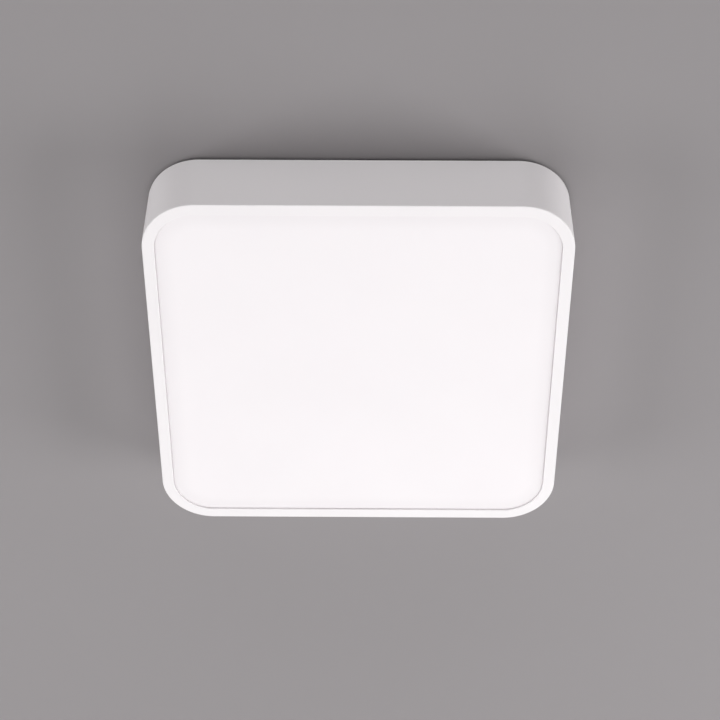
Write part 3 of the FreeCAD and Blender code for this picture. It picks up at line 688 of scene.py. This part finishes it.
def copies_tree():
    """Copies of a prototype at the points of a mesh, each turned by chance round the vertical."""
    tree, given, out = geometry_tree("Copies at places",
                                     {"Prototype": "Object", "Turn": "Float", "Seed": "Int",
                                      "Finish": "Material"})
    chance = add(tree, "FunctionNodeRandomValue", {"Max": given["Turn"], "Seed": given["Seed"]})
    facing = add(tree, "ShaderNodeCombineXYZ", {"Z": chance.outputs[1]})
    model = add(tree, "GeometryNodeObjectInfo", {"Object": given["Prototype"]})
    copies = add(tree, "GeometryNodeInstanceOnPoints",
                 {"Points": given["Geometry"], "Instance": model.outputs["Geometry"],
                  "Rotation": facing.outputs[0]})
    end_tree(tree, copies.outputs[0], given["Finish"], out)
    return tree


ring_nodes = ring_tree()
sides_nodes = sides_tree()
copies_nodes = copies_tree()


def ring(name, corners, finish, closed_profile=True, steps=5):
    """Piece that runs round the light with one profile of (out, up, round) corners."""
    points = rounded(corners, steps)
    path_half = max(point.x for point in points)
    bm = bmesh.new()
    spots = [bm.verts.new((point.x - path_half, -point.y, 0)) for point in points]
    for first, second in zip(spots, spots[1:]):
        bm.edges.new((first, second))
    if closed_profile:
        bm.edges.new((spots[-1], spots[0]))
    return grow(piece_from(bm, name), ring_nodes, Half_side=path_half,
                Corner=path_half - corner_centre, Corner_steps=24, Finish=finish)


def copies(name, prototype, places, finish, turn=0.0, seed=0):
    """One piece with a copy of the prototype at each place."""
    bm = bmesh.new()
    for place in places:
        bm.verts.new(place)
    return grow(piece_from(bm, name), copies_nodes, Prototype=prototype, Turn=turn, Seed=seed,
                Finish=finish)


# Cover


def side_plate(bm, corners, middle, width):
    """Closed plate across the +X side, from its (out, up) outline."""
    faces = [[Vector((x, middle + sign * width / 2, z)) for x, z in corners] for sign in (-1, 1)]
    loft(bm, faces, ends="capped")


def snap_features():
    """Stop ribs, snap lugs and the catch ridge on one side of the cover."""
    bm = bmesh.new()
    root = wall_face + buried
    nose = pan_half - sheet - rib_overlap
    nose_top = pan_low.z - stop_gap
    foot = rim_back + rib_foot_gap
    for offset in rib_offsets:
        side_plate(bm, [(root, foot), (wall_face - rib_foot_depth, foot),
                        (nose, nose_top - rib_nose_height), (nose, nose_top), (root, nose_top)],
                   offset, rib_thickness)
    seat = rim_back + lug_gap
    tip = rim_half - lug_overlap
    for offset in lug_offsets:
        side_plate(bm, [(root, seat), (tip, seat), (tip, seat + lug_nose), (root, seat + lug_rise)],
                   offset, lug_length)
    crest = wall_face - ridge_depth
    run = root - crest
    side_plate(bm, [(root, ridge_top + run), (crest, ridge_top), (crest, ridge_top - ridge_flat),
                    (root, ridge_top - ridge_flat - run)], 0.0, ridge_length)
    closed(bm)
    return soften(piece_from(bm, "cover_frame_moulding"), 0.2 * mm)


def cover_frame():
    """White moulded ring with its snap features inside."""
    soft = 0.3 * mm
    corners = [(half, frame_high.z, soft), (half, frame_low.z, lip_edge_round),
               (lip_face, frame_low.z, soft), (lip_face, lip_back, soft),
               (wall_face, lip_back, soft), (wall_face, frame_high.z, soft)]
    shell = ring("cover_frame_shell", corners, finishes["frame_plastic"])
    piece = grow(snap_features(), sides_nodes, Ring=shell, Finish=finishes["frame_plastic"])
    bpy.data.objects.remove(shell)
    stands_for(hold_flats(piece), "cover_frame")


def diffuser():
    """Opal tray with a softly rounded face and a flat rim behind the lip."""
    soft = 0.3 * mm
    open_run = 4.0 * mm
    face_half = lip_face - face_gap
    pocket = diffuser_half - diffuser_wall
    floor = diffuser_face + diffuser_wall
    rim_front = rim_back - diffuser_wall
    corners = [(pocket - 2 * soft, floor, 0), (pocket, floor, soft),
               (pocket, rim_back, soft), (rim_half, rim_back, soft),
               (rim_half, rim_front, soft), (face_half, rim_front, soft),
               (face_half, diffuser_face, face_round), (face_half - open_run, diffuser_face, 0)]
    piece = ring("diffuser_tray", corners, finishes["opal_acrylic"], closed_profile=False, steps=10)
    bm = opened(piece)
    fill_level(bm, floor)
    fill_level(bm, diffuser_face)
    closed(bm)
    stands_for(hold_flats(filled(piece, bm)), "diffuser")


def seal():
    """Foam ring between the lip and the rim."""
    soft = 0.12 * mm
    inner = lip_face + seal_inset
    corners = [(seal_high.x, seal_high.z, soft), (seal_high.x, seal_low.z, soft),
               (inner, seal_low.z, soft), (inner, seal_high.z, soft)]
    piece = ring("diffuser_seal_ring", corners, finishes["seal_foam"], steps=3)
    stands_for(hold_flats(piece), "diffuser_seal")


# Base pan


def pressed(bm, x, y, half_x, half_y, corner, level, height, reach, bend):
    """Raised field of pressed sheet; its top stays open, ready for a flat face."""
    slope = rounded([(-2 * bend, level, 0), (0, level, bend), (reach, level + height, bend),
                     (reach + 2 * bend, level + height, 0)])
    loft(bm, [outline(x, y, half_x - point.x, half_y - point.x, corner - point.x, point.y)
              for point in slope])


def pierced(bm, x, y, half_x, half_y, corner, low, high):
    """Wall of a hole through the sheet, with softly broken edges."""
    edge = 0.15 * mm
    loft(bm, [outline(x, y, half_x + grow_by, half_y + grow_by, corner + grow_by, level)
              for grow_by, level in ((edge, low), (0, low + edge), (0, high - edge), (edge, high))])


def screw_places(node, head_height):
    """Seat of each screw in a node."""
    return [Vector(((low.x + high.x) / 2, (low.y + high.y) / 2, low.z + head_height))
            for low, high in islands(node)]


def base_pan():
    """Shallow pan pressed from painted sheet, with raised feet, beads and pierced holes."""
    inner = pan_half - sheet
    edge = 0.2 * mm
    outer_bend, inner_bend = 2.0 * mm, 1.0 * mm
    web_edge = pan_half - 4.0 * mm
    corners = [(web_edge, web_top, 0), (pan_half, web_top, outer_bend),
               (pan_half, pan_low.z, edge), (inner, pan_low.z, edge),
               (inner, web_face, inner_bend), (web_edge, web_face, 0)]
    piece = ring("base_pan_pressing", corners, finishes["pan_steel"], closed_profile=False, steps=8)
    bm = opened(piece)
    for x, y in foot_places:
        for level, *size in foot_faces:
            pressed(bm, x, y, *size, level, foot_height, foot_slope, foot_bend)
        pierced(bm, x, y, slot_length / 2, slot_width / 2, slot_width / 2, -sheet, 0.0)
    for x, y in bead_places:
        for level, *size in bead_faces:
            pressed(bm, x, y, *size, level, bead_height, bead_slope, bead_bend)
    for x, y, radius in pan_holes:
        pierced(bm, x, y, radius, radius, radius, web_face, web_top)
    closed(bm)
    for level in (web_top, web_face, 0.0, -sheet, web_top + bead_height, web_face + bead_height):
        fill_level(bm, level)
    closed(bm)
    stands_for(hold_flats(filled(piece, bm)), "base_pan")


def cable_grommet():
    """Soft rubber ring whose groove grips the edge of the cable hole."""
    bore = mounts["supply_cable_entry"]["dims"]["r_mm"] * mm
    low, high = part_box("cable_grommet")
    brim = high.x - 0.1 * mm
    soft, groove_edge = 0.5 * mm, 0.1 * mm
    section = rounded([
        (bore, high.z, soft), (brim, high.z, soft), (brim, web_top, groove_edge),
        (cable_hole, web_top, 0), (cable_hole, web_face, 0), (brim, web_face, groove_edge),
        (brim, low.z, soft), (bore, low.z, soft),
    ])
    bm = bmesh.new()
    loft(bm, [circle(0, 0, point.x, point.y, 48) for point in section], ends="joined")
    closed(bm)
    stands_for(hold_flats(piece_from(bm, "cable_grommet_ring")), "cable_grommet")


# Screws


def thread_loop(radius, depth, turns_up, level, columns):
    """Points round a screw's shank where a winding thread passes one level."""
    points = []
    for column in range(columns):
        share = column / columns
        angle = 2 * math.pi * share
        reach = radius - depth * abs((turns_up + share) % 1.0 * 2 - 1)
        points.append(Vector((reach * math.cos(angle), reach * math.sin(angle), level)))
    return points


def screw_prototype(head_radius, head_height, shank_radius, shank_length):
    """Pan-head screw with a cross recess; the underside of its head is at the origin."""
    columns = 24
    loops_per_turn = 6
    pitch = 0.55 * shank_radius
    thread_depth = 0.22 * shank_radius
    tip_radius = 0.45 * shank_radius
    rows = math.ceil(shank_length / pitch * loops_per_turn)
    loops = [circle(0, 0, tip_radius, shank_length, columns)]
    for row in range(rows):
        level = shank_length * (1 - (row + 1) / (rows + 1))
        loops.append(thread_loop(shank_radius, thread_depth, level / pitch, level, columns))
    head = rounded([
        (shank_radius, 0, 0), (head_radius, 0, 0.08 * head_height),
        (head_radius, -head_height, 0.62 * head_height), (0.1 * mm, -head_height, 0),
    ], 6)
    loops += [circle(0, 0, point.x, point.y, columns) for point in head]
    bm = bmesh.new()
    loft(bm, loops, ends="capped")
    closed(bm)
    screw = piece_from(bm, "screw_prototype")
    arm, rib = 0.52 * head_radius, 0.15 * head_radius
    cross = [(arm, rib), (rib, rib), (rib, arm), (-rib, arm), (-rib, rib), (-arm, rib),
             (-arm, -rib), (-rib, -rib), (-rib, -arm), (rib, -arm), (rib, -rib), (arm, -rib)]
    mouth, bottom = (1.05, -1.1 * head_height), (0.6, -0.35 * head_height)
    bm = bmesh.new()
    loft(bm, [[Vector((x * share, y * share, level)) for x, y in cross]
              for share, level in (mouth, bottom)], ends="capped")
    closed(bm)
    return carve(screw, piece_from(bm, "screw_recess"))


def screws(seed, node, head_radius, head_height, shank_radius):
    """All screws of one node, each turned its own way."""
    places = screw_places(node, head_height)
    shank_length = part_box(node)[1].z - places[0].z
    prototype = screw_prototype(head_radius, head_height, shank_radius, shank_length)
    piece = copies(node + "_driven", prototype, places, finishes[slot_of[node]], 2 * math.pi, seed)
    bpy.data.objects.remove(prototype)
    stands_for(hold_flats(piece), node)


# Light sources


def chip_prototype():
    """White package with a round window of phosphor, face down from the origin."""
    half_x, half_y, height = 1.75 * mm, 1.4 * mm, 0.8 * mm
    edge = 0.08 * mm
    corner, face_corner = 0.15 * mm, 0.1 * mm
    window = 1.15 * mm
    lens = 0.9 * window
    lens_level, lens_rise = 0.86, 0.1
    bm = bmesh.new()
    glowing = bm.verts.layers.float.new("Window")
    body = loft(bm, [outline(0, 0, half_x, half_y, corner, 0, 3),
                     outline(0, 0, half_x, half_y, corner, edge - height, 3),
                     outline(0, 0, half_x - edge, half_y - edge, face_corner, -height, 3)])
    bm.faces.new(body[0][::-1])
    loft(bm, [circle(0, 0, window, -height, 24), circle(0, 0, lens, -lens_level * height, 24)])
    dome = loft(bm, [circle(0, 0, lens * math.cos(angle),
                            -height * (lens_level + lens_rise * math.sin(angle)), 24)
                     for angle in map(math.radians, (0, 30, 60, 80))])
    bm.faces.new(dome[-1])
    for loop in dome:
        for vertex in loop:
            vertex[glowing] = 1.0
    fill_level(bm, -height)
    closed(bm)
    return piece_from(bm, "chip_prototype")


def led_rows():
    """Chips of all four bars, soldered at one pitch."""
    prototype = chip_prototype()
    for number in range(1, 5):
        node = "led_chips_%d" % number
        places = [Vector(((low.x + high.x) / 2, (low.y + high.y) / 2, high.z))
                  for low, high in islands(node)]
        piece = copies(node + "_packages", prototype, places, finishes["chip_phosphor"])
        stands_for(hold_flats(piece), node)
    bpy.data.objects.remove(prototype)


# Leads


def twin_section(radius, half_gap):
    """Outline of two cores that touch, with an arc round each from waist to waist."""
    waist = math.asin(half_gap / radius)
    span = math.pi + 2 * waist
    steps = 15
    arc = []
    for step in range(steps + 1):
        angle = -waist + span * step / steps
        arc.append((radius * math.cos(angle), half_gap + radius * math.sin(angle)))
    return arc + [(-x, -y) for x, y in arc]


def lead_profile(name, section):
    """Closed line through the points of a lead's section."""
    data = bpy.data.curves.new(name, "CURVE")
    data.dimensions = "2D"
    spline = data.splines.new("POLY")
    spline.points.add(len(section) - 1)
    for point, (x, y) in zip(spline.points, section):
        point.co = (x, y, 0, 1)
    spline.use_cyclic_u = True
    return placed(name, data)


def lead(node, spots, profile):
    """Sleeved lead on one smooth line led by its control points, in millimetres."""
    data = bpy.data.curves.new(node + "_line", "CURVE")
    data.dimensions = "3D"
    data.twist_mode = "Z_UP"
    data.resolution_u = 8
    data.bevel_mode = "OBJECT"
    data.bevel_object = profile
    data.use_fill_caps = True
    spline = data.splines.new("NURBS")
    spline.points.add(len(spots) - 1)
    for point, (x, y, z) in zip(spline.points, spots):
        point.co = (x * mm, y * mm, z * mm, 1)
    spline.order_u = 3
    spline.use_endpoint_u = True
    line = placed(node + "_line", data)
    bm = bmesh.new()
    bm.from_mesh(made_mesh(line))
    closed(bm)
    bpy.data.objects.remove(line)
    stands_for(hold_flats(piece_from(bm, node + "_sleeve")), node)


def leads():
    """Mains leads from the terminal block, and twin leads from the driver and from bar to bar."""
    low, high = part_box("live_lead")
    level = (low.z + high.z) / 2 / mm
    core = lead_profile("single_core", [spot.xy for spot in circle(0, 0, lead_radius, 0, 16)])
    twin = lead_profile("twin_core", twin_section(0.75 * mm, 0.65 * mm))
    live = ((52, 10), (68, 10), (68, 26), (68, 43.5), (68, 59.5), (52.5, 59.5))
    neutral = ((52, 0), (73, 0), (73, 16), (73, 67.5), (73, 83.5), (52.5, 83.5))
    lead("live_lead", [(x, y, level) for x, y in live], core)
    lead("neutral_lead", [(x, y, level) for x, y in neutral], core)
    barrel = (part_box("earth_lug")[0].z - lead_radius) / mm
    lead("earth_lead", [(52, -10, level), (68, -10, level), (68, -26, level), (68, -37, level),
                        (68, -42, barrel), (68, -47.5, barrel)], core)
    led = ((-52.5, 83.5), (-64, 83.5), (-74, 89.25), (-90, 89.25), (-124, 89.25), (-134, 89.25),
           (-134, 107.25), (-125, 107.25), (-123, 107.25))
    lead("led_lead", [(x, y, level) for x, y in led], twin)
    for number, sign in ((0, 1), (1, -1), (2, 1)):
        start, stop = bar_rows[number] / mm, bar_rows[number + 1] / mm
        jumper = ((123, start), (125, start), (134, start), (134, start + 11), (134, stop - 11),
                  (134, stop), (125, stop), (123, stop))
        lead("jumper_lead_%d" % (number + 1), [(sign * x, y, level) for x, y in jumper], twin)
    bpy.data.objects.remove(core)
    bpy.data.objects.remove(twin)


def lead_saddles():
    """Small glued arches over the leads, each on its own base."""
    wall = 0.8 * mm
    foot = 2.5 * mm
    soft = 0.7 * mm
    base_corner = 1.2 * mm
    bm = bmesh.new()
    for low, high in islands("lead_saddles"):
        size = high - low
        middle = (low + high) / 2
        turned = size.x < size.y
        width, length = max(size.x, size.y), min(size.x, size.y)
        outside = width / 2 - foot
        inside = outside - wall
        rest = high.z - wall / 2
        arch = rounded([(outside, rest, 0), (outside, low.z, soft), (-outside, low.z, soft),
                        (-outside, rest, 0), (-inside, rest, 0), (-inside, low.z + wall, soft / 2),
                        (inside, low.z + wall, soft / 2), (inside, rest, 0)], 4)
        made = loft(bm, [[Vector((point.x, side * length / 2, point.y)) for point in arch]
                         for side in (-1, 1)], ends="capped")
        made += loft(bm, [outline(0, 0, width / 2, length / 2, base_corner, level)
                          for level in (high.z - wall, high.z)], ends="capped")
        facing = Matrix.Rotation(math.pi / 2 if turned else 0.0, 3, "Z")
        for loop in made:
            for vertex in loop:
                vertex.co = facing @ vertex.co + Vector((middle.x, middle.y, 0))
    closed(bm)
    stands_for(soften(piece_from(bm, "lead_saddles_moulded"), 0.12 * mm), "lead_saddles")


def earth_lug():
    """Tinned ring tongue with a crimped barrel round the end of the lead."""
    tongue = refined("earth_lug", 0.15 * mm)
    low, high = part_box("earth_lug")
    x = (low.x + high.x) / 2
    z = low.z - lead_radius
    start = high.y - 7.0 * mm
    wall = 0.45 * mm
    length = 6.0 * mm
    # How deep the crimp is at shares of the barrel's length, in millimetres
    squeeze = ((0.0, 0.0), (0.1, 0.0), (0.3, 0.25), (0.7, 0.25), (0.9, 0.0), (1.0, 0.0))
    outside = [(share * length, lead_radius + wall - dent * mm) for share, dent in squeeze]
    inside = [(share * length, lead_radius - 0.1 * mm) for share, dent in squeeze[::-1]]
    bm = opened(tongue)
    loft(bm, [[Vector((x + radius * math.cos(2 * math.pi * step / 24), start + along,
                       z + radius * math.sin(2 * math.pi * step / 24))) for step in range(24)]
              for along, radius in outside + inside], ends="joined")
    bmesh.ops.recalc_face_normals(bm, faces=bm.faces)
    hold_flats(filled(tongue, bm))


lead_low, lead_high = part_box("live_lead")
lead_radius = (lead_high.z - lead_low.z) / 2

# Head radius, head height and shank radius
screw_kinds = {
    "bar_screws": (2.4 * mm, 1.4 * mm, 1.3 * mm),
    "driver_screws": (2.9 * mm, 1.8 * mm, 1.6 * mm),
    "terminal_screws": (2.9 * mm, 1.8 * mm, 1.6 * mm),
    "earth_screw": (3.8 * mm, 2.4 * mm, 2.0 * mm),
}
pan_holes = [(0, 0, cable_hole)]
for node, (head_radius, head_height, shank_radius) in screw_kinds.items():
    pan_holes += [(place.x, place.y, shank_radius + screw_clearance)
                  for place in screw_places(node, head_height)]
screw_span = mounts["ceiling_screws"]["dims"]
foot_places = [(sign_x * screw_span["spacing_x_mm"] * mm / 2,
                sign_y * screw_span["spacing_y_mm"] * mm / 2)
               for sign_x in (-1, 1) for sign_y in (-1, 1)]
driver_low, driver_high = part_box("driver_case")
driver_row = (driver_low.y + driver_high.y) / 2
bead_places = [(-bead_beside_cable, 0), (0, -driver_row), (0, driver_row)]

cover_frame()
diffuser()
seal()
base_pan()
cable_grommet()
for seed, (node, sizes) in enumerate(screw_kinds.items()):
    screws(seed, node, *sizes)
led_rows()
leads()
lead_saddles()
earth_lug()
edge_rounds = {"bar_connectors": 0.25, "driver_case": 0.5, "driver_lid": 0.6,
               "terminal_housing": 0.4}
edge_rounds.update(("release_button_" + pole, 0.3) for pole in ("earth", "neutral", "live"))
edge_rounds.update(("spring_clip_" + side, 0.08) for side in ("right", "back", "left", "front"))
edge_rounds.update(("led_bar_%d" % number, 0.15) for number in range(1, 5))
for node, size in edge_rounds.items():
    refined(node, size * mm)
for node, thing in nodes.items():
    thing.data.materials.clear()
    thing.data.materials.append(finishes[slot_of[node]])


# Ceiling, floor, lamps and camera


def panel(name, half_size, level, facing, colour, see_through_back):
    """Square sheet of the surroundings, seen from the side that it faces."""
    bm = bmesh.new()
    corners = [bm.verts.new((x * half_size, y * half_size, level))
               for x, y in ((-1, -1), (1, -1), (1, 1), (-1, 1))]
    bm.faces.new(corners if facing > 0 else corners[::-1])
    sheet_piece = piece_from(bm, name)
    material, tree, shader = material_tree(name + "_paint", colour, 0.9, Specular_IOR_Level=0.2)
    texture = use(tree, grain, Place=position(tree), Size=1.2 * mm, Drift=3.0)
    bump(tree, shader, texture["Height"], 0.1, 0.02 * mm)
    if see_through_back:
        back = add(tree, "ShaderNodeNewGeometry").outputs["Backfacing"]
        clear = add(tree, "ShaderNodeBsdfTransparent").outputs[0]
        either = add(tree, "ShaderNodeMixShader", {0: back, 1: shader.outputs[0], 2: clear})
        give(tree, tree.nodes["Material Output"], Surface=either.outputs[0])
    sheet_piece.data.materials.append(material)
    return sheet_piece


ceiling = panel("ceiling", 1.3, 0.0, -1, (0.297, 0.281, 0.287), True)
ceiling.visible_shadow = False
panel("floor", 3.0, -2.4, 1, (0.68, 0.675, 0.667), False)

world = bpy.data.worlds.new("surroundings")
bpy.context.scene.world = world
world.use_nodes = True
sky = world.node_tree
background = sky.nodes["Background"]
background.inputs["Color"].default_value = (0.545, 0.54, 0.535, 1)
sky_light = 0.04
rays = add(sky, "ShaderNodeLightPath").outputs
bent = calculate(sky, "MAXIMUM", rays["Is Glossy Ray"], rays["Is Transmission Ray"])
seen = calculate(sky, "MAXIMUM", rays["Is Camera Ray"], bent)
strength = calculate(sky, "MULTIPLY_ADD", seen, 1 - sky_light, sky_light)
give(sky, background, Strength=strength)


def lamp(name, kind, place, power, **settings):
    """Light that points at the middle of the object."""
    data = bpy.data.lights.new(name, kind)
    data.energy = power
    for setting, value in settings.items():
        setattr(data, setting, value)
    thing = placed(name, data)
    thing.location = place
    thing.rotation_mode = "QUATERNION"
    thing.rotation_quaternion = (-Vector(place)).to_track_quat("-Z", "Y")
    thing.visible_camera = False
    return thing


# The overhead lamp is for views from above, and no surface passes its light on,
# to the ceiling or into the gap round the cover.
overhead = lamp("overhead", "SUN", (0, 0, 1.0), 2.4, angle=math.radians(25))
overhead.data.cycles.max_bounces = 0
lamp("below", "AREA", (0.0, 0.0, -1.9), 18.6, size=2.4)
lamp("low_far", "AREA", (0.2, 1.9, -1.5), 10.6, size=1.4)
lamp("low_right", "AREA", (2.0, 0.5, -0.9), 36.0, size=1.2)
lamp("low_left", "AREA", (-2.0, 0.4, -0.9), 25.4, size=1.2)
lamp("low_near", "AREA", (0.0, -2.2, -0.35), 16.2, shape="RECTANGLE", size=2.4, size_y=0.7)

# The photograph's camera: its place in shares of the light's side, from the wall's end at the
# ceiling, its three angles and its focal length in pixels
side = 2 * half
camera_spot = Vector((0.0259, -3.1435, -3.7884)) * side + Vector((0, 0, frame_high.z))
camera_turn = -0.0070
camera_rise = 0.8604
camera_roll = 0.0102
camera_reach = 1969.4
image_width = 720
camera_data = bpy.data.cameras.new("photograph_view")
camera_data.sensor_width = 36.0
camera_data.lens = camera_reach / image_width * camera_data.sensor_width
camera = placed("photograph_view", camera_data)
forward = Vector((math.sin(camera_turn) * math.cos(camera_rise),
                  math.cos(camera_turn) * math.cos(camera_rise), math.sin(camera_rise)))
level_right = forward.cross(Vector((0, 0, 1))).normalized()
level_up = level_right.cross(forward)
right = level_right * math.cos(camera_roll) + level_up * math.sin(camera_roll)
up = level_up * math.cos(camera_roll) - level_right * math.sin(camera_roll)
facing = Matrix((right, up, -forward)).transposed().to_4x4()
camera.matrix_world = Matrix.Translation(camera_spot) @ facing
bpy.context.scene.camera = camera

bpy.context.scene.view_settings.view_transform = "Standard"
